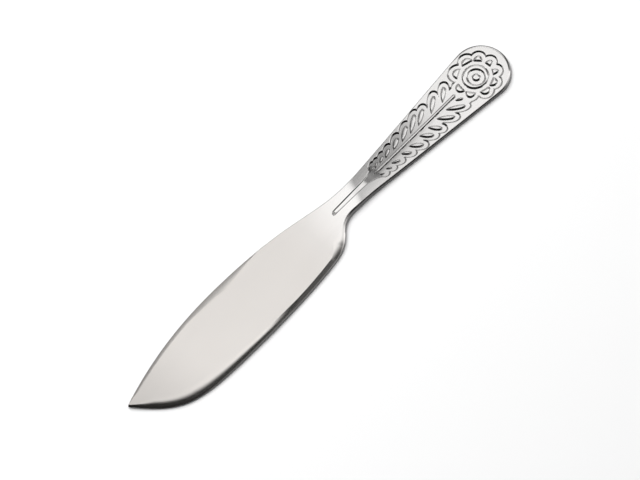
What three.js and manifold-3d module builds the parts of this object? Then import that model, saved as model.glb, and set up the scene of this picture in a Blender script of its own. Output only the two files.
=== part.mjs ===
// A cake knife of stainless steel: a broad, pointed blade with a blunt ground edge, and a tapering handle
// coined with a nine-petal flower and a spray of paired leaves.
// The blade's tang is let into a pocket under the handle's neck and brazed there, flush with the underside.
// Millimetres, +Z up. X runs from the blade's point to the handle's end, and Y towards the blade's spine.
// The knife lies flat on Z = 0, with the origin under the middle of its bounding box.

import * as THREE from "three";
import { mergeVertices, toCreasedNormals } from "three/addons/utils/BufferGeometryUtils.js";
import Module from "manifold-3d";

const wasm = await Module();
wasm.setup();

// Lengths along the knife, in order from the point
const bladeLength = 98; // point to the corner of the heel
const heelLength = 21; // corner of the heel to the narrow neck
const neckLength = 2.5; // where the neck's sides run parallel
const neckBlend = 5; // each half of the curve from the neck into the handle's taper
const handleLength = 78.5; // corner of the taper to the handle's round end

// Widths, measured from the knife's centreline
const pointOffset = 1.7; // to the point, which lies on the spine's side
const spineReach = 11; // to the spine where it stands out furthest
const spineWidestAt = 58; // how far from the point that is
const bellyReach = 16.9; // to the cutting edge where it stands out furthest
const bellyWidestAt = 46; // how far from the point that is
const heelReach = 14; // to the cutting edge at the corner of the heel
const heelSlope = 0.17; // how steeply the cutting edge closes in there
const neckHalfWidth = 4.7;
const endRadius = 11.2; // the handle's round end

// Thicknesses, all above a flat underside
const pointThickness = 1.65;
const heelThickness = 1.85;
const neckThickness = 2.2; // where the slopes from the blade and from the handle would meet
const endThickness = 1.6; // the flat part of the handle
const ridgeFromNeck = 1.3; // end of the parallel neck to the round ridge across it, the thickest place
const ridgeRounding = 0.11; // how near to each other the two slopes are when the rounding starts
const thinningLength = 43.2; // ridge to the flat part of the handle

// The blunt bevel along the cutting edge, which is broad and low at the belly and runs out behind the heel
const bellyBevelWidth = 1.8;
const bellyBevelDrop = 0.5;
const heelBevelWidth = 1.5;
const heelBevelDrop = 0.6;
const heelBevelRise = 1.5; // how far its wedge has risen at the neck, against its drop

// The tang and its pocket
const seamFromHeel = 10.5; // corner of the heel to the seam between blade and handle
const tangLength = 16;
const tangWidth = 5.6;
const tangThickness = 1.2;
const jointGap = 0.1; // clearance that the braze fills

// The coined ornament, which lies a little askew on the handle
const coinDepth = 0.5; // how far the ground of the ornament lies below the handle's face
const channelDepth = 0.16; // and the channel through the neck
const channelFade = 0.4; // the share of its depth that the channel loses on its way to the ornament
const fadeLength = 7; // how long it takes to lose it, from the ridge on
const askewAngle = THREE.MathUtils.degToRad(0.65);
const askewFromFlower = 43.65; // flower's centre to the place about which the ornament is turned
const flowerFromEnd = 14.35; // flower's centre to the handle's end
const flowerOffset = 0.4; // from the centreline to the flower's centre, on the cutting edge's side
const flowerStretch = 1.1; // the flower is this much longer than wide
const buttonRadius = 1.5; // the raised button in the middle of the flower
const ringInner = 3.25;
const ringOuter = 4.85;
const ringOffset = 0.4; // from the ring's centre to the middle of its hole, on the cutting edge's side
const petalTip = 10.2; // flower's centre to the tips of the sunk lobes
const petalSeat = 7.4; // flower's centre to the middle of a petal's raised half-moon
const petalRise = 2.2; // the half-moon's size outwards
const lobeOverlap = 1.28; // how far the sunk lobes of neighbouring petals run into each other
const stemGap = 11.6; // flower's centre to the stem's round tip
const stemLength = 57.1; // flower's centre to the stem's foot
const stemPoint = 3; // how long the stem tapers at its foot
const stemWidth = 1.2;
const stemOffset = 0.15; // from the centreline to the stem, on the spine's side
const stemClear = 1.55; // centreline to the foot of a leaf
const leafWidth = 1.8; // the widest leaves
const leafSlimness = 0.33; // a small leaf's width against its length
const leafBed = 1.3; // sunk ground beside a leaf
const leafBedLength = 3.3; // how much longer than its leaf that ground is, foot and tip together
const channelWidth = 1.44; // the sunk channel through the neck, at its round end
const mouthWidth = 1.9; // and where it opens into the spray's ground
const channelOffset = 0.2; // from the centreline to the channel, on the spine's side
const channelSetback = 2.8; // seam to the channel's round end
const dishFromTaper = 2; // corner of the taper to where the ground starts to fall from the channel
const dishLength = 7.5; // how long it takes to reach its full depth
const dishEase = 1.4; // above 1 the ground starts to fall more gently

// Each petal's direction in degrees, from the handle's end round by the spine, and the width of its half-moon
const petals = [
  [1, 2.4],
  [37, 3],
  [72, 4.2],
  [119, 4],
  [172, 3.9],
  [210, 3.7],
  [256, 3.7],
  [292, 3.5],
  [327, 2.3],
];

// The sides of the spray's ground: how far each corner lies from the flower's centre and the centreline
const spineGround = [
  [55.2, 3],
  [18, 4.6],
  [13, 3.3],
  [0, 3.3],
];
const edgeGround = [
  [55.2, 3],
  [18, 4.8],
  [9.5, 6.5],
  [5, 6.5],
  [0, 4],
];

// Each leaf of the hand-cut spray: flower's centre to the leaf's foot, its length, and its slant in degrees
const spineLeaves = [
  [16.5, 6.6, 37],
  [22.8, 7.4, 35],
  [29.9, 7.3, 30],
  [34.4, 8.3, 32],
  [39.1, 6.9, 30],
  [43.9, 5.4, 28],
  [48.5, 4.2, 25],
  [51.6, 3.2, 25],
  [54.4, 2.6, 25],
  [56.2, 2.2, 28],
];
const edgeLeaves = [
  [12.5, 2.9, 32],
  [17.9, 7.6, 35],
  [23.1, 6.9, 41],
  [28.1, 5.4, 52],
  [32.9, 5.6, 44],
  [38.8, 5.6, 41],
  [43.2, 4, 40],
  [48.6, 3.6, 28],
  [51.8, 2.4, 36],
  [55.2, 1.9, 30],
];

// Places along the knife that follow from these sizes
const neckStart = bladeLength + heelLength;
const neckEnd = neckStart + neckLength;
const taperStart = neckEnd + neckBlend;
const knifeLength = taperStart + handleLength;
const seamX = bladeLength + seamFromHeel;
const ridgeX = neckEnd + ridgeFromNeck;
const flatX = ridgeX + thinningLength;
const flowerX = knifeLength - flowerFromEnd;
const dishX = taperStart + dishFromTaper;
const dishEndX = dishX + dishLength;
const stemFootX = flowerX - stemLength;

// The handle's straight sides start at the corner of the taper and touch the round end
const endCentreX = knifeLength - endRadius;
const taperRun = Math.hypot(endCentreX - taperStart, neckHalfWidth);
const taperAngle = Math.asin(endRadius / taperRun) - Math.atan2(neckHalfWidth, endCentreX - taperStart);

// How the outline's curves pull, as shares of each curve's own length and height
const spinePointPull = new THREE.Vector2(0.42, 0.9);
const spineCrownPull = 0.77;
const spineBackPull = 0.6;
const spineNeckPull = 0.26;
const bellyPointPull = new THREE.Vector2(0.26, 0.89);
const bellyCrownPull = 0.39;
const edgeCrownPull = 0.44;
const edgeHeelPull = 0.2;
const heelCornerPull = 0.6;
const heelNeckPull = 0.55;
const flarePull = 0.6;
const leafFootPull = 0.3;
const leafSwell = 0.67; // pulls a leaf's sides out to its full width

// Fineness of the facets
const outlineSegments = 20;
const ornamentSegments = 6;
const ringSegments = 16;
const profileSteps = 9;
const creaseAngle = THREE.MathUtils.degToRad(11); // facets that meet at less are shaded as one face

const tall = neckThickness * 4; // higher than the knife is thick, for cutters
const wide = (bellyReach + endRadius) * 4; // wider than the knife

// A closed geometry as a solid that can be joined and cut
function solidOf(geometry) {
  geometry.deleteAttribute("normal");
  geometry.deleteAttribute("uv");
  const merged = mergeVertices(geometry);
  return new wasm.Manifold(
    new wasm.Mesh({
      numProp: 3,
      vertProperties: new Float32Array(merged.attributes.position.array),
      triVerts: new Uint32Array(merged.index.array),
    }),
  );
}

// A finished solid as a named mesh
function pieceOf(name, solid, material) {
  const mesh = solid.getMesh();
  const geometry = new THREE.BufferGeometry();
  geometry.setAttribute("position", new THREE.BufferAttribute(new Float32Array(mesh.vertProperties), 3));
  geometry.setIndex(new THREE.BufferAttribute(new Uint32Array(mesh.triVerts), 1));
  const piece = new THREE.Mesh(toCreasedNormals(geometry, creaseAngle), material);
  piece.name = name;
  return piece;
}

function joined(solids) {
  return solids.reduce((whole, solid) => whole.add(solid));
}

function boxBetween(low, high) {
  const size = high.clone().sub(low);
  const middle = low.clone().add(high).multiplyScalar(0.5);
  const geometry = new THREE.BoxGeometry(size.x, size.y, size.z);
  return solidOf(geometry.translate(middle.x, middle.y, middle.z));
}

// The cutting edge from the point to the heel, and the heel from there to the neck, as curves in plan
const edgeRun = bladeLength - bellyWidestAt;
const heelHandle = edgeRun * edgeHeelPull;
const bellyFall = bellyReach + pointOffset;
const bellyCurve = new THREE.CubicBezierCurve(
  new THREE.Vector2(0, pointOffset),
  new THREE.Vector2(bellyWidestAt * bellyPointPull.x, pointOffset - bellyFall * bellyPointPull.y),
  new THREE.Vector2(bellyWidestAt * bellyCrownPull, -bellyReach),
  new THREE.Vector2(bellyWidestAt, -bellyReach),
);
const edgeCurve = new THREE.CubicBezierCurve(
  new THREE.Vector2(bellyWidestAt, -bellyReach),
  new THREE.Vector2(bellyWidestAt + edgeRun * edgeCrownPull, -bellyReach),
  new THREE.Vector2(bladeLength - heelHandle, -heelReach - heelHandle * heelSlope),
  new THREE.Vector2(bladeLength, -heelReach),
);
const cornerHandle = heelLength * heelCornerPull;
const heelCurve = new THREE.CubicBezierCurve(
  new THREE.Vector2(bladeLength, -heelReach),
  new THREE.Vector2(bladeLength + cornerHandle, -heelReach + cornerHandle * heelSlope),
  new THREE.Vector2(neckStart - heelLength * heelNeckPull, -neckHalfWidth),
  new THREE.Vector2(neckStart, -neckHalfWidth),
);

// The plan of the whole knife, round from the point by the cutting edge and back along the spine
function knifeOutline() {
  const blendX = taperStart + neckBlend * Math.cos(taperAngle);
  const blendY = neckHalfWidth + neckBlend * Math.sin(taperAngle);
  const spineRun = neckEnd - spineWidestAt;
  const outline = new THREE.Shape();
  outline.curves.push(bellyCurve, edgeCurve, heelCurve);
  outline.currentPoint.copy(heelCurve.v3);
  outline.lineTo(neckEnd, -neckHalfWidth);
  outline.quadraticCurveTo(taperStart, -neckHalfWidth, blendX, -blendY);
  const quarter = Math.PI / 2;
  outline.absarc(endCentreX, 0, endRadius, -quarter - taperAngle, quarter + taperAngle, false);
  outline.lineTo(blendX, blendY);
  outline.quadraticCurveTo(taperStart, neckHalfWidth, neckEnd, neckHalfWidth);
  outline.bezierCurveTo(
    neckEnd - spineRun * spineNeckPull,
    neckHalfWidth,
    spineWidestAt + spineRun * spineBackPull,
    spineReach,
    spineWidestAt,
    spineReach,
  );
  outline.bezierCurveTo(
    spineWidestAt * spineCrownPull,
    spineReach,
    spineWidestAt * spinePointPull.x,
    pointOffset + (spineReach - pointOffset) * spinePointPull.y,
    0,
    pointOffset,
  );
  return outline;
}

// Height of the knife's face, which thickens to the heel, rises to the neck's ridge and thins out again
function faceHeight(x) {
  if (x < bladeLength) {
    return THREE.MathUtils.lerp(pointThickness, heelThickness, x / bladeLength);
  }
  const rise = (x - bladeLength) / (ridgeX - bladeLength);
  const left = Math.max(flatX - x, 0) / thinningLength;
  const toNeck = THREE.MathUtils.lerp(heelThickness, neckThickness, rise * rise);
  const toEnd = THREE.MathUtils.lerp(endThickness, neckThickness, left * left);
  const rounding = Math.max(ridgeRounding - Math.abs(toNeck - toEnd), 0);
  return Math.min(toNeck, toEnd) - (rounding * rounding) / (4 * ridgeRounding);
}

// How far the ground lies below that face: the channel grows shallower, then the ground falls away
function groundDepth(x) {
  const fade = THREE.MathUtils.smoothstep(x, ridgeX, ridgeX + fadeLength);
  const fallen = Math.max(x - dishX, 0) / dishLength;
  const dish = THREE.MathUtils.smoothstep(fallen ** dishEase, 0, 1);
  return THREE.MathUtils.lerp(channelDepth * (1 - channelFade * fade), coinDepth, dish);
}

// The knife's face from the point to the end, seen from the side, lowered by the depth at each place
function facePoints(depthAt) {
  const places = [0];
  for (const [from, to] of [[bladeLength, ridgeX], [ridgeX, dishEndX], [dishEndX, flatX]]) {
    for (let step = 0; step < profileSteps; step += 1) {
      places.push(THREE.MathUtils.lerp(from, to, step / profileSteps));
    }
  }
  places.push(flatX, knifeLength);
  return places.map((x) => new THREE.Vector2(x, faceHeight(x) - depthAt(x)));
}

// A side view drawn in X and Z, carried right across the knife
function acrossKnife(points) {
  const geometry = new THREE.ExtrudeGeometry(new THREE.Shape(points), { depth: wide, bevelEnabled: false });
  return solidOf(geometry.rotateX(Math.PI / 2).translate(0, wide / 2, 0));
}

// A three-cornered section at a place on the outline, whose long side is the bevel; lift raises it
function bevelSection(point, tangent, lift) {
  const share = THREE.MathUtils.smoothstep(point.x, 0, bladeLength);
  const width = THREE.MathUtils.lerp(bellyBevelWidth, heelBevelWidth, share);
  const drop = THREE.MathUtils.lerp(bellyBevelDrop, heelBevelDrop, share);
  const inward = new THREE.Vector2(-tangent.y, tangent.x);
  const corners = [[2, 1], [-1, -2], [-1, 1]];
  return corners.map(([across, up]) => {
    const place = point.clone().addScaledVector(inward, across * width);
    return new THREE.Vector3(place.x, place.y, faceHeight(point.x) + (up + lift) * drop);
  });
}

// A wedge that takes off the bevel, in step with the outline: from before the point, along the cutting edge,
// and out of the steel again behind the heel
function bevelCutter() {
  const first = bellyCurve.getTangent(0);
  const before = bellyCurve.v0.clone().addScaledVector(first, -bellyBevelWidth * 3);
  const corners = bevelSection(before, first, 0);
  for (const curve of [bellyCurve, edgeCurve, heelCurve]) {
    const firstStep = curve === bellyCurve ? 0 : 1;
    for (let step = firstStep; step <= outlineSegments; step += 1) {
      const share = step / outlineSegments;
      const lift = curve === heelCurve ? share * heelBevelRise : 0;
      corners.push(...bevelSection(curve.getPoint(share), curve.getTangent(share), lift));
    }
  }
  const faces = [0, 1, 2];
  for (let ring = 0; ring + 3 < corners.length; ring += 3) {
    for (let corner = 0; corner < 3; corner += 1) {
      const here = ring + corner;
      const next = ring + ((corner + 1) % 3);
      faces.push(here, here + 3, next, next, here + 3, next + 3);
    }
  }
  const cap = corners.length - 3;
  faces.push(cap, cap + 2, cap + 1);
  const geometry = new THREE.BufferGeometry().setFromPoints(corners);
  geometry.setIndex(faces);
  return solidOf(geometry);
}

// The knife in one piece, before the coining: where its plan and its side view meet, with the bevel taken off
function knifeBlank() {
  const plan = new THREE.ExtrudeGeometry(knifeOutline(), {
    depth: tall,
    bevelEnabled: false,
    curveSegments: outlineSegments,
  });
  const face = facePoints(() => 0).reverse();
  const sideView = [new THREE.Vector2(0, 0), new THREE.Vector2(knifeLength, 0), ...face];
  return solidOf(plan).intersect(acrossKnife(sideView)).subtract(bevelCutter());
}

// The tang with its round end and its root inside the blade, grown by a clearance and let down by a depth
function tangSolid(clearance, depth) {
  const half = tangWidth / 2 + clearance;
  const rootX = seamX - tangWidth;
  const roundX = seamX + tangLength - tangWidth / 2;
  const plan = new THREE.Shape();
  plan.moveTo(rootX, -half);
  plan.lineTo(roundX, -half);
  plan.absarc(roundX, 0, half, -Math.PI / 2, Math.PI / 2, false);
  plan.lineTo(rootX, half);
  const geometry = new THREE.ExtrudeGeometry(plan, {
    depth: tangThickness + clearance + depth,
    bevelEnabled: false,
    curveSegments: outlineSegments,
  });
  return solidOf(geometry.translate(0, 0, -depth));
}

// A plan shape as a column, turned and moved to its place on the handle
function column(shape, x = 0, y = 0, angle = 0, segments = ornamentSegments) {
  const geometry = new THREE.ExtrudeGeometry(shape, {
    depth: tall,
    bevelEnabled: false,
    curveSegments: segments,
  });
  return geometry.rotateZ(angle).translate(x, y, 0);
}

// A leaf seen from above: pointed at its foot, round at its tip
function leafShape(length, width) {
  const swell = width * leafSwell;
  const foot = length * leafFootPull;
  const shape = new THREE.Shape();
  shape.moveTo(0, 0);
  shape.bezierCurveTo(foot, -swell, length, -swell, length, 0);
  shape.bezierCurveTo(length, swell, foot, swell, 0, 0);
  return shape;
}

function discShape(radius) {
  const shape = new THREE.Shape();
  shape.absarc(0, 0, radius, 0, Math.PI * 2, false);
  return shape;
}

// The flower: its sunk lobes and ground, and the raised button, ring and half-moons
function flowerColumns() {
  const sunk = [column(discShape(petalSeat), 0, 0, 0, ringSegments)];
  const halfMoons = [];
  petals.forEach(([degrees, width], petal) => {
    const before = petal > 0 ? petals[petal - 1][0] : petals.at(-1)[0] - 360;
    const after = petal + 1 < petals.length ? petals[petal + 1][0] : petals[0][0] + 360;
    const halfSpacing = THREE.MathUtils.degToRad((after - before) / 4);
    const spread = lobeOverlap * Math.sin(halfSpacing);
    const lobeRadius = (petalTip * spread) / (1 + spread);
    const lobeSeat = petalTip - lobeRadius;
    const angle = THREE.MathUtils.degToRad(degrees);
    const direction = new THREE.Vector2(Math.cos(angle), Math.sin(angle));
    sunk.push(column(discShape(lobeRadius), lobeSeat * direction.x, lobeSeat * direction.y, 0, ringSegments));
    const halfMoon = new THREE.Shape();
    halfMoon.absellipse(-petalRise / 2, 0, petalRise, width / 2, -Math.PI / 2, Math.PI / 2, false);
    halfMoons.push(column(halfMoon, petalSeat * direction.x, petalSeat * direction.y, angle));
  });
  const stretched = (geometry) => geometry.scale(flowerStretch, 1, 1);
  const placed = (geometry) => geometry.translate(flowerX, -flowerOffset, 0);
  const ring = new THREE.Shape();
  ring.absellipse(0, 0, ringOuter * flowerStretch, ringOuter, 0, Math.PI * 2, false);
  const hole = new THREE.Path();
  hole.absarc(0, -ringOffset, ringInner, 0, Math.PI * 2, false);
  ring.holes.push(hole);
  const button = column(discShape(buttonRadius), 0, -ringOffset, 0, ringSegments);
  const raised = [column(ring, 0, 0, 0, ringSegments), button, ...halfMoons.map(stretched)];
  return { sunk: sunk.map(stretched).map(placed), raised: raised.map(placed) };
}

// The spray's sunk ground, which runs out into the neck's channel
function sprayGround() {
  const channelHalf = channelWidth / 2;
  const channelX = seamX + channelSetback + channelHalf;
  const spineMouth = channelOffset + mouthWidth / 2;
  const edgeMouth = channelOffset - mouthWidth / 2;
  const corner = (side) => ([fromFlower, half]) => new THREE.Vector2(flowerX - fromFlower, side * half);
  const [spineFoot, ...spineCorners] = spineGround.map(corner(1));
  const [edgeFoot, ...edgeCorners] = edgeGround.map(corner(-1));
  const flareX = THREE.MathUtils.lerp(taperStart, spineFoot.x, flarePull);
  const ground = new THREE.Shape();
  ground.absarc(channelX, channelOffset, channelHalf, Math.PI / 2, Math.PI * 1.5, false);
  ground.lineTo(taperStart, edgeMouth);
  ground.quadraticCurveTo(flareX, edgeMouth, edgeFoot.x, edgeFoot.y);
  for (const place of [...edgeCorners, ...spineCorners.reverse(), spineFoot]) {
    ground.lineTo(place.x, place.y);
  }
  ground.quadraticCurveTo(flareX, spineMouth, taperStart, spineMouth);
  return column(ground);
}

// The spray's stem, pointed at its foot and round at its tip
function stemColumn() {
  const half = stemWidth / 2;
  const tipX = flowerX - stemGap;
  const stem = new THREE.Shape();
  stem.moveTo(stemFootX, 0);
  stem.lineTo(stemFootX + stemPoint, -half);
  stem.lineTo(tipX, -half);
  stem.absarc(tipX, 0, half, -Math.PI / 2, Math.PI / 2, false);
  stem.lineTo(stemFootX + stemPoint, half);
  return column(stem, 0, stemOffset);
}

// The spray: its sunk ground and beds, and the raised stem and leaves
function sprayColumns() {
  const sunk = [sprayGround()];
  const raised = [stemColumn()];
  for (const [side, leaves] of [[1, spineLeaves], [-1, edgeLeaves]]) {
    for (const [fromFlower, length, slant] of leaves) {
      const angle = side * THREE.MathUtils.degToRad(slant);
      const width = Math.min(leafWidth, length * leafSlimness);
      const footX = flowerX - fromFlower;
      const footY = side * stemClear;
      const bed = leafShape(length + leafBedLength, width + leafBed * 2);
      sunk.push(column(bed, footX - leafBed * Math.cos(angle), footY - leafBed * Math.sin(angle), angle));
      raised.push(column(leafShape(length, width), footX, footY, angle));
    }
  }
  return { sunk, raised };
}

// Everything that the coining presses down: the sunk ground without what stands up on it
function coiningCutter() {
  const pivotX = flowerX - askewFromFlower;
  const askew = (geometry) => geometry.translate(-pivotX, 0, 0).rotateZ(askewAngle).translate(pivotX, 0, 0);
  const flower = flowerColumns();
  const spray = sprayColumns();
  const ground = joined([...flower.sunk, ...spray.sunk].map(askew).map(solidOf));
  const relief = joined([...flower.raised, ...spray.raised].map(askew).map(solidOf));
  const aboveGround = [
    new THREE.Vector2(knifeLength, tall),
    new THREE.Vector2(0, tall),
    ...facePoints(groundDepth),
  ];
  return ground.subtract(relief).intersect(acrossKnife(aboveGround));
}

function bladeSolid(blank) {
  const bladeEnd = seamX - jointGap;
  const front = boxBetween(new THREE.Vector3(-wide, -wide, -tall), new THREE.Vector3(bladeEnd, wide, tall));
  return blank.intersect(front).add(tangSolid(0, 0));
}

function handleSolid(blank) {
  const front = boxBetween(new THREE.Vector3(-wide, -wide, -tall), new THREE.Vector3(seamX, wide, tall));
  return blank.subtract(front).subtract(tangSolid(jointGap, tall)).subtract(coiningCutter());
}

const satinSteel = new THREE.MeshStandardMaterial({ color: 0xc9c6c1, roughness: 0.38, metalness: 1 });
const polishedSteel = new THREE.MeshStandardMaterial({ color: 0xd2d1ce, roughness: 0.2, metalness: 1 });

const blank = knifeBlank();
const knife = new THREE.Group();
knife.add(pieceOf("blade", bladeSolid(blank), satinSteel));
knife.add(pieceOf("handle", handleSolid(blank), polishedSteel));
knife.position.set(-knifeLength / 2, (bellyReach - Math.max(spineReach, endRadius)) / 2, 0);

export default knife;
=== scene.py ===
import math

import bmesh
import bpy
import numpy as np
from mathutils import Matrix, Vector


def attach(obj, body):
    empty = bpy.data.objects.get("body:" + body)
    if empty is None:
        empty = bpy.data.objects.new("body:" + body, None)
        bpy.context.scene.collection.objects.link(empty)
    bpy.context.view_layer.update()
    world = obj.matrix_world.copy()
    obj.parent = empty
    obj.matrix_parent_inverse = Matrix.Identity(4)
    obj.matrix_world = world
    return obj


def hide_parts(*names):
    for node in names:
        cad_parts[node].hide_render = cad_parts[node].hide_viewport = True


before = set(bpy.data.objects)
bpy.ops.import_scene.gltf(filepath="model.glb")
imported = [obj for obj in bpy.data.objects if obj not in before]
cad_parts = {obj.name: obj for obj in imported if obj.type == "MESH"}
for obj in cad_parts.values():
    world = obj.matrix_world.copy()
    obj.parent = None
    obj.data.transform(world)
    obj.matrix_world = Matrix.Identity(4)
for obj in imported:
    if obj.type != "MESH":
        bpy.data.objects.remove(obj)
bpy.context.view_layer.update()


# Blade
# A broad pointed blade of stainless steel, pressed flat, with a blunt edge that is rolled over at the belly
# and ground to a bevel towards the heel. It is rubbed lengthwise to a satin, and its tang is let into
# the underside of the handle's neck and brazed there.

# Plan sizes in millimetres, along the knife from the point and across it from the handle's centreline
millimetre = 0.001
knife_length = 205.0
blade_length = 98.0
neck_start = 119.0
neck_end = 121.5
taper_start = 126.5
neck_blend = 5.0
point_offset = 1.7
spine_reach = 11.0
spine_widest = 58.0
belly_reach = 16.9
belly_widest = 46.0
heel_reach = 14.0
heel_slope = 0.17
neck_half = 4.7
end_radius = 11.2
end_centre = knife_length - end_radius
seam = 108.5

# Heights above the flat underside, the rounding of the edges, and the strip that holds the face's rim crisp
point_thickness = 1.65
heel_thickness = 1.85
neck_thickness = 2.2
ridge = 122.8
ridge_skew = 0.45
ridge_round = 0.11
flat_start = 166.0
end_thickness = 1.6
bottom_round = 0.25
bottom_inset = 0.4
hold = 0.06
seam_gap = 0.004
seam_overlap = 4.0
sharp_corner = math.radians(50)

# How wide the face turns down along the cutting edge and the spine, and how far, from the point to the end
edge_places = [0, 20, 40, 60, 76, 97, 104, 112, 119, 124, 191, 201]
edge_widths = [3.5, 5.8, 3.8, 2.2, 1.5, 1.6, 4.0, 1.2, 0.4, 0.2, 0.2, 0.9]
edge_drops = [0.4, 0.5, 0.45, 0.38, 0.6, 0.6, 0.6, 0.5, 0.35, 0.2, 0.2, 0.6]
spine_places = [0, 20, 40, 60, 80, 188, 198]
spine_widths = [0.8, 1.4, 1.6, 3.2, 0.2, 0.2, 0.9]
spine_drops = [0.3, 0.65, 0.55, 0.37, 0.2, 0.2, 0.6]

# Where these start at the point, where the edge is ground flat, where its rim is plain round, and where the
# handle is crowned
point_run = 6.0
belly_roll = 4
bevel_places = (50, 78, 97, 106)
round_rim = (102, 118)
crown_places = (neck_start, neck_start + 7, 135, 175)
crown_bend = 0.0005


def smooth(value, low, high):
    """Zero below low, one above high, and an even curve between them"""
    share = np.clip((value - low) / (high - low), 0, 1)
    return share * share * (3 - 2 * share)


def band(value, places):
    """One between the two middle places, and zero before the first and past the last"""
    first, full, fading, gone = places
    return smooth(value, first, full) * (1 - smooth(value, fading, gone))


def blend(first, second, share):
    return first + (second - first) * share


def bezier(corners, count=80):
    shares = np.linspace(0, 1, count)[:, None]
    points = [np.array([corner], float) for corner in corners]
    while len(points) > 1:
        points = [blend(near, far, shares) for near, far in zip(points, points[1:])]
    return points[0]


# The outline from the point to the handle's end, once along the spine and once along the cutting edge
taper_run = end_centre - taper_start
taper_angle = math.asin(end_radius / math.hypot(taper_run, neck_half)) - math.atan2(neck_half, taper_run)
blend_end = (
    taper_start + neck_blend * math.cos(taper_angle),
    neck_half + neck_blend * math.sin(taper_angle),
)
neck_curve = bezier([(neck_end, neck_half), (taper_start, neck_half), blend_end])
end_angles = np.linspace(math.pi / 2 + taper_angle, 0, 240)
end_arc = np.stack([end_centre + end_radius * np.cos(end_angles), end_radius * np.sin(end_angles)], 1)
across = np.array([1, -1])

spine_rise = spine_reach - point_offset
spine_run = neck_end - spine_widest
spine = np.vstack([
    bezier([
        (0, point_offset),
        (spine_widest * 0.42, point_offset + spine_rise * 0.9),
        (spine_widest * 0.77, spine_reach),
        (spine_widest, spine_reach),
    ]),
    bezier([
        (spine_widest, spine_reach),
        (spine_widest + spine_run * 0.6, spine_reach),
        (neck_end - spine_run * 0.26, neck_half),
        (neck_end, neck_half),
    ])[1:],
    neck_curve[1:],
    end_arc,
])

belly_fall = belly_reach + point_offset
edge_run = blade_length - belly_widest
heel_run = neck_start - blade_length
edge = np.vstack([
    bezier([
        (0, point_offset),
        (belly_widest * 0.26, point_offset - belly_fall * 0.89),
        (belly_widest * 0.39, -belly_reach),
        (belly_widest, -belly_reach),
    ]),
    bezier([
        (belly_widest, -belly_reach),
        (belly_widest + edge_run * 0.44, -belly_reach),
        (blade_length - edge_run * 0.2, -heel_reach - edge_run * 0.2 * heel_slope),
        (blade_length, -heel_reach),
    ])[1:],
    bezier([
        (blade_length, -heel_reach),
        (blade_length + heel_run * 0.6, -heel_reach + heel_run * 0.6 * heel_slope),
        (neck_start - heel_run * 0.55, -neck_half),
        (neck_start, -neck_half),
    ])[1:],
    neck_curve * across,
    end_arc * across,
])


def inside(outline, turn, x, inset):
    """Places on the plan at a distance inside the outline; turn is 1 for the spine and -1 for the edge"""
    run = np.gradient(outline, axis=0)
    normal = np.stack([-run[:, 1], run[:, 0]], 1) * turn / np.hypot(run[:, 0], run[:, 1])[:, None]
    y = np.interp(x, outline[:, 0], outline[:, 1])
    normal_x = np.interp(x, outline[:, 0], normal[:, 0])
    normal_y = np.interp(x, outline[:, 0], normal[:, 1])
    length = np.hypot(normal_x, normal_y)
    return x - inset * normal_x / length, y - inset * normal_y / length


def face_height(x, y):
    """The knife thickens to the heel, rises to the neck's ridge and thins out along the crowned handle"""
    to_heel = blend(point_thickness, heel_thickness, x / blade_length)
    ridge_here = ridge + y * ridge_skew
    rise = np.maximum(x - blade_length, 0) / (ridge_here - blade_length)
    to_neck = blend(heel_thickness, neck_thickness, rise * rise)
    left = np.maximum(flat_start - x, 0) / (flat_start - ridge_here)
    to_end = blend(end_thickness, neck_thickness, left * left)
    near_ridge = np.maximum(ridge_round - np.abs(to_neck - to_end), 0)
    over_ridge = np.minimum(to_neck, to_end) - near_ridge * near_ridge / (4 * ridge_round)
    crown = band(x, crown_places) * crown_bend
    return np.where(x < blade_length, to_heel, over_ridge) - y * y * crown


def skin(columns, face_rows, relief):
    """One section across the knife for each column: from the underside up over the face and down again"""
    x = columns
    ramp = np.clip(x / point_run, 0, 1)
    width = np.interp(x, edge_places, edge_widths) * ramp
    drop = np.interp(x, edge_places, edge_drops) * ramp
    flatness = band(x, bevel_places)
    roundness = smooth(x, *round_rim)
    spine_width = np.interp(x, spine_places, spine_widths) * ramp
    spine_drop = np.interp(x, spine_places, spine_drops) * ramp
    bottom = bottom_round * ramp
    rows = []

    def add(places, fall, pressed=0):
        height = face_height(*places) - fall - pressed
        rows.append(np.stack([places[0], places[1], height, pressed + 0 * x], 1))

    def add_low(places, height):
        rows.append(np.stack([places[0], places[1], height + 0 * x, 0 * x], 1))

    turns = np.linspace(0, math.pi / 2, 7)
    low_turns = np.linspace(0, math.pi / 2, 5)
    add_low(inside(spine, 1, x, bottom + bottom_inset * ramp), 0)
    for turn in low_turns:
        add_low(inside(spine, 1, x, bottom * (1 - math.sin(turn))), bottom * (1 - math.cos(turn)))
    for turn in turns:
        add(inside(spine, 1, x, spine_width * (1 - math.cos(turn))), spine_drop * (1 - math.sin(turn)))
    near = np.stack(inside(spine, 1, x, spine_width + hold * ramp))
    far = np.stack(inside(edge, -1, x, width + hold * ramp))
    for share in np.linspace(0, 1, face_rows):
        places = blend(near, far, share)
        add(places, 0, relief(*places))
    for turn in turns[::-1]:
        straight = turn / turns[-1]
        hollow = 1 - straight
        out = blend(straight, 1 - math.cos(turn), roundness)
        fall = blend(blend(hollow ** belly_roll, hollow, flatness), 1 - math.sin(turn), roundness)
        add(inside(edge, -1, x, width * out), drop * fall)
    for turn in low_turns[::-1]:
        add_low(inside(edge, -1, x, bottom * (1 - math.sin(turn))), bottom * (1 - math.cos(turn)))
    add_low(inside(edge, -1, x, bottom + bottom_inset * ramp), 0)
    rows.append(rows[0])
    return np.stack(rows, 1)


def placed(places):
    """From millimetres on the knife to metres in the frame, whose origin is under the middle of the knife"""
    middle = np.array([knife_length / 2, (end_radius - belly_reach) / 2, 0])
    return (places - middle) * millimetre


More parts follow.
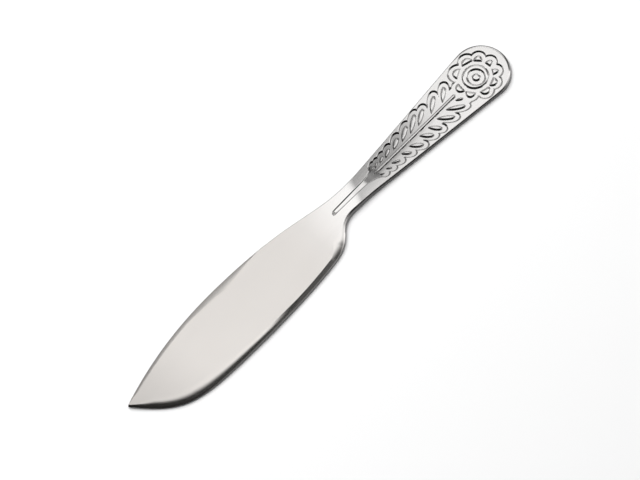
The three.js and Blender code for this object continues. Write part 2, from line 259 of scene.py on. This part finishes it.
def finished(name, shape):
    mesh = bpy.data.meshes.new(name)
    shape.to_mesh(mesh)
    shape.free()
    piece = bpy.data.objects.new(name, mesh)
    bpy.context.scene.collection.objects.link(piece)
    return piece


def pressed_steel(name, columns, face_rows, relief, cut, keep):
    """A closed length of the knife, from a grid wrapped round it and cut square at the seam"""
    sections = skin(columns, face_rows, relief)
    shape = bmesh.new()
    pressed = shape.verts.layers.float.new("pressed")
    bmesh.ops.create_grid(
        shape, x_segments=sections.shape[0] - 1, y_segments=sections.shape[1] - 1, size=1
    )
    for vert in shape.verts:
        column = round((vert.co.x + 1) / 2 * (sections.shape[0] - 1))
        row = round((vert.co.y + 1) / 2 * (sections.shape[1] - 1))
        vert.co = placed(sections[column, row, :3])
        vert[pressed] = sections[column, row, 3]
    bmesh.ops.remove_doubles(shape, verts=shape.verts, dist=1e-6)
    bmesh.ops.bisect_plane(
        shape,
        geom=shape.verts[:] + shape.edges[:] + shape.faces[:],
        dist=1e-7,
        plane_co=placed(np.array([cut, 0.0, 0.0])),
        plane_no=(keep, 0, 0),
        clear_outer=False,
        clear_inner=True,
    )
    bmesh.ops.holes_fill(shape, edges=[e for e in shape.edges if e.is_boundary], sides=0)
    bmesh.ops.recalc_face_normals(shape, faces=shape.faces)
    return finished(name, shape)


tang_length = 16.0
tang_width = 5.6
tang_thickness = 1.2


def tang(clearance, depth):
    """The round-ended tang with its root past the seam, grown by a clearance and let down by a depth"""
    half = (tang_width / 2 + clearance) * millimetre
    round_centre = placed(np.array([seam + tang_length - tang_width / 2, 0, -depth]))
    shape = bmesh.new()
    bmesh.ops.create_circle(shape, cap_ends=True, segments=96, radius=half)
    back = [vert for vert in shape.verts if vert.co.x < -1e-6]
    bmesh.ops.translate(shape, verts=back, vec=(-tang_length * millimetre, 0, 0))
    bmesh.ops.translate(shape, verts=shape.verts, vec=round_centre)
    walls = bmesh.ops.extrude_face_region(shape, geom=shape.faces[:])["geom"]
    raised = [part for part in walls if isinstance(part, bmesh.types.BMVert)]
    height = (tang_thickness + clearance + depth) * millimetre
    bmesh.ops.translate(shape, verts=raised, vec=(0, 0, height))
    bmesh.ops.recalc_face_normals(shape, faces=shape.faces)
    return finished("tang", shape)


def fitted(piece, tool, operation):
    """Joins the tang to a piece, or cuts its pocket, and shades the steel smooth up to its sharp corners"""
    joint = piece.modifiers.new("joint", "BOOLEAN")
    joint.operation = operation
    joint.solver = "EXACT"
    joint.object = tool
    evaluated = piece.evaluated_get(bpy.context.evaluated_depsgraph_get())
    mesh = bpy.data.meshes.new_from_object(evaluated)
    piece.modifiers.clear()
    piece.data = mesh
    bpy.data.objects.remove(tool)
    mesh.shade_smooth()
    mesh.set_sharp_from_angle(angle=sharp_corner)


class Tone:
    """A shader value: sums with it add Math nodes, and made() adds any other node"""

    def __init__(self, tree, socket=None):
        self.tree = tree
        self.socket = socket

    def made(self, kind, settings, values, output=0):
        node = self.tree.nodes.new(kind)
        for name, setting in settings.items():
            setattr(node, name, setting)
        for name, value in values.items():
            if isinstance(value, Tone):
                self.tree.links.new(value.socket, node.inputs[name])
            else:
                node.inputs[name].default_value = value
        return Tone(self.tree, node.outputs[output])

    def sum(self, operation, first, second):
        return self.made("ShaderNodeMath", {"operation": operation}, {0: first, 1: second})

    def __add__(self, other):
        return self.sum("ADD", self, other)

    def __sub__(self, other):
        return self.sum("SUBTRACT", self, other)

    def __rsub__(self, other):
        return self.sum("SUBTRACT", other, self)

    def __mul__(self, other):
        return self.sum("MULTIPLY", self, other)

    __radd__ = __add__
    __rmul__ = __mul__

    def rising(self, low, high):
        """Zero below low, one above high, and an even curve between them"""
        return self.made(
            "ShaderNodeMapRange",
            {"interpolation_type": "SMOOTHSTEP"},
            {"Value": self, "From Min": low, "From Max": high},
        )

    def between(self, places):
        """One between the two middle places, and zero before the first and past the last"""
        first, full, fading, gone = places
        return self.rising(first, full) * (1 - self.rising(fading, gone))

    def along(self, direction):
        return self.made(
            "ShaderNodeVectorMath", {"operation": "DOT_PRODUCT"}, {0: self, 1: direction}, "Value"
        )


def steel(name, piece):
    """Bare steel for a piece; returns its first tone, its shader and the piece's own coordinates"""
    material = bpy.data.materials.new(name)
    material.use_nodes = True
    shader = material.node_tree.nodes["Principled BSDF"]
    shader.inputs["Metallic"].default_value = 1
    piece.data.materials.append(material)
    paint = Tone(material.node_tree)
    return paint, shader, paint.made("ShaderNodeTexCoord", {}, {}, "Object")


def grain(paint, place, size, detail):
    """Fine noise drawn out along the knife; size is in metres along and across"""
    stretched = paint.made(
        "ShaderNodeVectorMath",
        {"operation": "MULTIPLY"},
        {0: place, 1: (1 / size[0], 1 / size[1], 1 / size[1])},
    )
    return paint.made("ShaderNodeTexNoise", {}, {"Vector": stretched, "Scale": 1.0, "Detail": detail})


def feed(paint, shader, name, value):
    paint.tree.links.new(value.socket, shader.inputs[name])


def length_from_point(place):
    """How far a place lies along the knife from its point, in metres"""
    return place.along((1, 0, 0)) + knife_length / 2 * millimetre


satin_colour = (0.93, 0.89, 0.853, 1)
polish_colour = (0.81, 0.797, 0.787, 1)
satin_roughness = 0.16
polish_gain = 0.11
unevenness = 0.04
rub_size = (0.012, 0.00025)
cloud_size = (0.04, 0.012)
point_bright = 0.76
blade_gain = 0.22
end_gain = 0.07


def rub_lengthwise(paint, shader, place, bright):
    """Steel rubbed along the knife: satin on the blade and polished from the heel on, its colour darker
    towards the point and a little lighter at the end
    """
    rubbing = grain(paint, place, rub_size, 3.0)
    clouds = grain(paint, place, cloud_size, 2.0)
    from_point = length_from_point(place)
    polish = from_point.rising(0.085, 0.125)
    roughness = satin_roughness - polish * polish_gain + rubbing * unevenness + clouds * unevenness
    feed(paint, shader, "Roughness", roughness)
    # The base colour is darker towards the point, rises along the blade and is a little lighter towards the
    # handle's end
    lengthwise_tone = point_bright + from_point.rising(0.0, 0.035) * blade_gain
    lengthwise_tone = lengthwise_tone + from_point.rising(0.16, 0.195) * end_gain + clouds * unevenness
    lengthwise_tone = lengthwise_tone * bright
    tint = paint.made(
        "ShaderNodeMix", {"data_type": "RGBA"}, {"Factor": polish, 6: satin_colour, 7: polish_colour}, 2
    )
    feed(paint, shader, "Base Color", paint.made(
        "ShaderNodeVectorMath", {"operation": "SCALE"}, {0: tint, "Scale": lengthwise_tone}
    ))
    feed(paint, shader, "Normal", paint.made(
        "ShaderNodeBump", {}, {"Strength": 0.03, "Distance": 0.00001, "Height": rubbing}
    ))


def plain(x, y):
    return 0 * x


# The columns lie closer together towards the point, and run past the seam to where the piece is cut
blade_columns = (seam + seam_overlap) * np.linspace(0, 1, 260) ** 1.25
blade_rows = 30
blade = pressed_steel("blade_steel_body", blade_columns, blade_rows, plain, seam - seam_gap / 2, -1)
fitted(blade, tang(0, 0), "UNION")

paint, shader, place = steel("satin_blade_steel", blade)
rub_lengthwise(paint, shader, place, 1)

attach(blade, "root")
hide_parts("blade")


# Handle
# A tapering handle of the same steel, coined on its face with a nine-petal flower and a spray of paired
# leaves that runs out into a channel in the neck. It is polished, and a pocket under the neck takes the tang.

# How deep the coining is, how wide its walls are, and how the raised forms slope, in millimetres
coin_depth = 0.5
wall_width = 0.45
channel_wall = 0.2
wall_change = (-0.2, 0.6)
foot_wall = 0.72
foot_places = (132.5, 134.5, 150, 162)
foot_side = (1.6, 2.6)
side_width = 0.3
side_start = 0.08
dome_width = 0.5
dome_share = 0.22

# The flower, with its button, its ring and its petals
flower_x = knife_length - 14.35
flower_offset = 0.4
flower_stretch = 1.1
petal_tip = 10.2
petal_seat = 7.4
petal_rise = 2.2
lobe_overlap = 1.28
button_radius = 1.5
ring_inner = 3.25
ring_outer = 4.85
ring_offset = 0.4

# The spray's stem, and its leaves with the beds that they lie in
stem_gap = 11.6
stem_foot = flower_x - 57.1
stem_half = 0.6
stem_point = 3.0
stem_steepness = 1.5
stem_offset = 0.15
stem_clear = 1.55
leaf_width = 1.8
leaf_slimness = 0.33
leaf_swell = 0.67
leaf_bed = 1.3
leaf_bed_length = 3.3

# The channel in the neck, and the dish in which it runs out into the spray
channel_depth = 0.16
channel_fade = 0.4
channel_half = 0.72
channel_mouth = 0.95
channel_offset = 0.2
channel_end = seam + 2.8
fade_end = 129.8
flare = 131.8
dish_start = 128.5
dish_end = 136.0
dish_ease = 1.4

# The ornament lies a little askew, and the pocket is a little larger than the tang
ornament_turn = math.radians(0.65)
ornament_pivot = 147.0
pocket_clearance = 0.03
pocket_overshoot = 1.0

# The angle of each petal and the width of its half-moon, from the handle's end round by the spine
petals = [
    (1, 2.4), (37, 3.0), (72, 4.2), (119, 4.0), (172, 3.9), (210, 3.7), (256, 3.7), (292, 3.5), (327, 2.3),
]

# The sides of the spray's ground: how far each corner lies from the flower's centre and from the centreline
spine_ground = [(55.2, 3.0), (18.0, 4.6), (13.0, 3.3), (0.0, 3.3)]
edge_ground = [(55.2, 3.0), (18.0, 4.8), (9.5, 6.5), (5.0, 6.5), (0.0, 4.0)]

# The leaves of the hand-cut die differ: how far each foot lies from the flower's centre, then the leaf's
# length and its angle
spine_leaves = [
    (16.5, 6.6, 37), (22.8, 7.4, 35), (29.9, 7.3, 30), (34.4, 8.3, 32), (39.1, 6.9, 30), (43.9, 5.4, 28),
    (48.5, 4.2, 25), (51.6, 3.2, 25), (54.4, 2.6, 25), (56.2, 2.2, 28),
]
edge_leaves = [
    (12.5, 2.9, 32), (17.9, 7.6, 35), (23.1, 6.9, 41), (28.1, 5.4, 52), (32.9, 5.6, 44), (38.8, 5.6, 41),
    (43.2, 4.0, 40), (48.6, 3.6, 28), (51.8, 2.4, 36), (55.2, 1.9, 30),
]


def depth_inside(outline, x, y):
    """How far each place lies inside a closed outline; less than zero outside it"""
    nearest = np.full(x.shape, 1e9)
    within = np.zeros(x.shape, bool)
    for start, stop in zip(outline, np.roll(outline, -1, axis=0)):
        run = stop - start
        share = np.clip(((x - start[0]) * run[0] + (y - start[1]) * run[1]) / (run @ run), 0, 1)
        nearest = np.minimum(nearest, np.hypot(x - start[0] - share * run[0], y - start[1] - share * run[1]))
        crossed = (start[1] > y) != (stop[1] > y)
        slope = run[0] / run[1] if run[1] else 0
        within ^= crossed & (x < start[0] + (y - start[1]) * slope)
    return np.where(within, nearest, -nearest)


def turned(outline, angle):
    """An outline turned about its origin"""
    return outline @ np.array([[math.cos(angle), math.sin(angle)], [-math.sin(angle), math.cos(angle)]])


def leaf_outline(length, width, x, y, angle):
    """A leaf, pointed at its foot and round at its tip, turned to its place on the handle"""
    swell = width * leaf_swell
    side = bezier([(0, 0), (length * 0.3, -swell), (length, -swell), (length, 0)], 14)
    outline = np.vstack([side, side[-2:0:-1] * across])
    return turned(outline, angle) + (x, y)


def crowned(depth):
    """The height of a raised form: a steep side and a low dome, by how far a place lies inside its edge"""
    side = 1 - np.clip(depth / side_width + side_start, 0, 1)
    dome = 1 - np.clip(depth / dome_width, 0, 1)
    return 1 - side * side * (1 - dome_share) - dome * dome_share


def flower_forms(x, y):
    """The flower's sunk lobes and ground, and the button, ring and half-moons that stand up in them"""
    along = (x - flower_x) / flower_stretch
    aside = y + flower_offset
    sunk = petal_seat - np.hypot(along, aside)
    from_button = np.hypot(x - flower_x, aside + ring_offset)
    raised = np.minimum(from_button - ring_inner, ring_outer - np.hypot(along, aside))
    raised = np.maximum(raised, button_radius - from_button)
    angles = [math.radians(angle) for angle, width in petals]
    before = [angles[-1] - math.tau] + angles[:-1]
    after = angles[1:] + [angles[0] + math.tau]
    bow_turns = np.linspace(-math.pi / 2, math.pi / 2, 17)
    bow_x = petal_seat - petal_rise / 2 + petal_rise * np.cos(bow_turns)
    for angle, last, following, (_, width) in zip(angles, before, after, petals):
        spread = lobe_overlap * math.sin((following - last) / 4)
        lobe = petal_tip * spread / (1 + spread)
        seat = petal_tip - lobe
        lobe_depth = lobe - np.hypot(along - seat * math.cos(angle), aside - seat * math.sin(angle))
        sunk = np.maximum(sunk, lobe_depth)
        half_moon = np.stack([bow_x, width / 2 * np.sin(bow_turns)], 1)
        raised = np.maximum(raised, depth_inside(turned(half_moon, angle), along, aside))
    return sunk, raised


def spray_forms(x, y):
    """The spray's sunk beds, ground and channel, and the stem and leaves that stand up in them"""
    turns = np.linspace(math.pi, math.pi / 2, 9)
    halves = []
    for ground, offset in ((spine_ground, channel_offset), (edge_ground, -channel_offset)):
        corners = np.array([(flower_x - from_flower, half) for from_flower, half in ground])
        round_x = channel_end + channel_half * (1 + np.cos(turns))
        channel_round = np.stack([round_x, offset + channel_half * np.sin(turns)], 1)
        mouth = channel_mouth + offset
        foot_curve = bezier([(taper_start, mouth), (flare, mouth), corners[0]], 10)
        halves.append(np.vstack([channel_round, foot_curve, corners[1:]]))
    sunk = depth_inside(np.vstack([halves[0], halves[1][:0:-1] * across]), x, y)
    stem_tip = flower_x - stem_gap
    aside = y - stem_offset
    stem_width = stem_half * np.clip((x - stem_foot) / stem_point, 0.01, 1)
    along_stem = stem_width - np.abs(aside)
    round_tip = stem_half - np.hypot(x - stem_tip, aside)
    raised = np.where(x < stem_tip, along_stem, round_tip) * stem_steepness
    raised = np.where(x < stem_foot, -1, raised)
    for side, leaves in ((1, spine_leaves), (-1, edge_leaves)):
        for from_flower, length, slant in leaves:
            angle = side * math.radians(slant)
            width = min(leaf_width, length * leaf_slimness)
            foot = flower_x - from_flower
            bed = leaf_outline(
                length + leaf_bed_length,
                width + leaf_bed * 2,
                foot - leaf_bed * math.cos(angle),
                side * stem_clear - leaf_bed * math.sin(angle),
                angle,
            )
            sunk = np.maximum(sunk, depth_inside(bed, x, y))
            leaf = leaf_outline(length, width, foot, side * stem_clear, angle)
            raised = np.maximum(raised, depth_inside(leaf, x, y))
    return sunk, raised


def coined(x, y):
    """How far the coining presses the face down; the ornament lies a little askew on the handle"""
    from_pivot = x - ornament_pivot
    along = ornament_pivot + from_pivot * math.cos(ornament_turn) + y * math.sin(ornament_turn)
    aside = y * math.cos(ornament_turn) - from_pivot * math.sin(ornament_turn)
    flower_sunk, flower_raised = flower_forms(along, aside)
    spray_sunk, spray_raised = spray_forms(along, aside)
    sloping = np.maximum(smooth(aside, *wall_change), smooth(x, dish_start, dish_end))
    wall = blend(channel_wall, wall_width, sloping)
    wall = blend(wall, foot_wall, smooth(aside, *foot_side) * band(x, foot_places))
    sunk = smooth(np.maximum(flower_sunk, spray_sunk), -wall / 2, wall / 2)
    raised = crowned(np.maximum(flower_raised, spray_raised))
    depth = channel_depth * (1 - channel_fade * smooth(x, ridge, fade_end))
    dish = np.clip((x - dish_start) / (dish_end - dish_start), 0, 1) ** dish_ease
    depth = blend(depth, coin_depth, smooth(dish, 0, 1))
    return depth * sunk * (1 - raised)


neck_step = 0.5
coined_step = 0.165
end_steps = 110
handle_rows = 134
handle_columns = np.concatenate([
    np.arange(seam - seam_overlap, taper_start, neck_step),
    np.arange(taper_start, end_centre, coined_step),
    end_centre + end_radius * np.sin(np.linspace(0, math.pi / 2, end_steps)),
])
handle = pressed_steel("handle_steel_body", handle_columns, handle_rows, coined, seam + seam_gap / 2, 1)
fitted(handle, tang(pocket_clearance, pocket_overshoot), "DIFFERENCE")

# The sunk ground is darkened near the neck, less so on the edge's side: partly a dull patina, partly painted
# shade in the recesses. The walls round the spine's first leaves are darkened with painted shade that stands
# in for their dark reflection
sunk_dullness_and_shade_strength = 0.4
painted_wall_shade_strength = 0.7
edge_share = 0.25
paint, shader, place = steel("polished_handle_steel", handle)
pressed = paint.made("ShaderNodeAttribute", {"attribute_name": "pressed"}, {}, "Fac")
from_point = length_from_point(place)
to_spine = place.along((0, 1, 0))
# Painted shade with some dullness: the sunk ground's colour is darkened by its depth, fading out towards the
# end
sunk_dullness_and_shade = pressed.rising(0.1, coin_depth) * (1 - from_point.rising(0.135, 0.182))
sunk_dullness_and_shade = sunk_dullness_and_shade * (edge_share + to_spine.rising(0.0006, 0.0022) * (1 - edge_share))
# Painted shade: the walls round the spine's first leaves are darkened in colour to stand in for their dark
# reflection
painted_wall_shade = pressed.between((0.05, 0.18, 0.36, 0.48))
painted_wall_shade = painted_wall_shade * (1 - from_point.rising(0.148, 0.164)) * to_spine.rising(0.0041, 0.0048)
rub_lengthwise(paint, shader, place, (1 - sunk_dullness_and_shade * sunk_dullness_and_shade_strength) * (1 - painted_wall_shade * painted_wall_shade_strength))

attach(handle, "root")
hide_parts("handle")


# Floor, light and camera
# A plain white table under a broad lamp. The steel mirrors a room with one bright panel behind the knife,
# grey past it, soft light at both flanks, and dark overhead and towards the viewer. The camera looks down
# on the knife through a long lens.

view_azimuth = math.radians(-47.25)
view_elevation = math.radians(62.9)
picture_right = Vector((math.cos(view_azimuth), math.sin(view_azimuth), 0))
picture_back = Vector((-math.sin(view_azimuth), math.cos(view_azimuth), 0))
towards_camera = Vector((0, 0, math.sin(view_elevation))) - picture_back * math.cos(view_elevation)

floor_drop = 0.00005
floor_shape = bmesh.new()
bmesh.ops.create_grid(floor_shape, x_segments=1, y_segments=1, size=3)
bmesh.ops.translate(floor_shape, verts=floor_shape.verts, vec=(0, 0, -floor_drop))
floor = finished("floor", floor_shape)
floor_material = bpy.data.materials.new("white_table")
floor_material.use_nodes = True
floor_shader = floor_material.node_tree.nodes["Principled BSDF"]
floor_shader.inputs["Base Color"].default_value = (0.92, 0.92, 0.92, 1)
floor_shader.inputs["Roughness"].default_value = 0.9
floor_shader.inputs["Specular IOR Level"].default_value = 0.1
floor.data.materials.append(floor_material)
floor.visible_glossy = False

world = bpy.data.worlds.new("studio")
bpy.context.scene.world = world
world.use_nodes = True
room = Tone(world.node_tree)
direction = room.made("ShaderNodeTexCoord", {}, {}, "Generated")
back = direction.along(picture_back)
right = direction.along(picture_right)
up = direction.along((0, 0, 1))

# Each light by the directions it fills: how far they lean back from the viewer, to the right and up
panel = back.between((0.2, 0.42, 0.457, 0.488)) * right.between((-0.63, -0.45, 0.75, 0.95))
grey_wall = back.rising(0.3, 0.45) * (1 - back.rising(0.8, 0.93) * 0.8) * (1 - right.rising(0.12, 0.3))
grey_wall = grey_wall * (0.22 + back.rising(0.52, 0.6) * 0.12)
window = (back - right.rising(0.0, 0.1) * 0.08).rising(0.53, 0.58) * (1 - back.rising(0.8, 0.9))
window = window * right.between((-0.12, -0.04, 0.3, 0.4)) * 0.75
right_light = right.rising(0.5, 0.7) * back.rising(0.0, 0.2) * 0.35
flank_light = back.between((-0.2, 0.0, 0.1, 0.35)) * (1 - up.rising(0.7, 0.85)) * 0.4
above = panel + grey_wall + window + right_light + flank_light
below = back.rising(-0.1, 0.3) * (1 - back.rising(0.5, 0.7) * 0.85) * 0.3
over_table = up.rising(-0.02, 0.05)
room_glow = 0.02
brightness = room_glow + over_table * above + (1 - over_table) * below
world_shader = world.node_tree.nodes["Background"]
world_shader.inputs["Color"].default_value = (1, 1, 1, 1)
feed(room, world_shader, "Strength", brightness)

lamp = bpy.data.lights.new("overhead", "AREA")
lamp.shape = "RECTANGLE"
lamp.size = 1.3
lamp.size_y = 1.3
lamp.energy = 32
overhead = bpy.data.objects.new("overhead", lamp)
overhead.location = picture_back * 0.6 - picture_right * 0.65 + Vector((0, 0, 1.21))
overhead.rotation_euler = overhead.location.to_track_quat("Z", "Y").to_euler()
overhead.visible_glossy = False
bpy.context.scene.collection.objects.link(overhead)

# The picture's middle looks at a place near the heel, and it takes in 241 mm from side to side
lens = bpy.data.cameras.new("camera")
lens.lens = 1100
lens.sensor_width = 36
picture_width = 0.2409
camera = bpy.data.objects.new("camera", lens)
target = Vector((-0.00253, -0.0009, 0.001))
camera.location = target + towards_camera * (picture_width * lens.lens / lens.sensor_width)
camera.rotation_euler = towards_camera.to_track_quat("Z", "Y").to_euler()
lens.clip_end = 100
bpy.context.scene.collection.objects.link(camera)
bpy.context.scene.camera = camera
bpy.context.scene.view_settings.view_transform = "Standard"
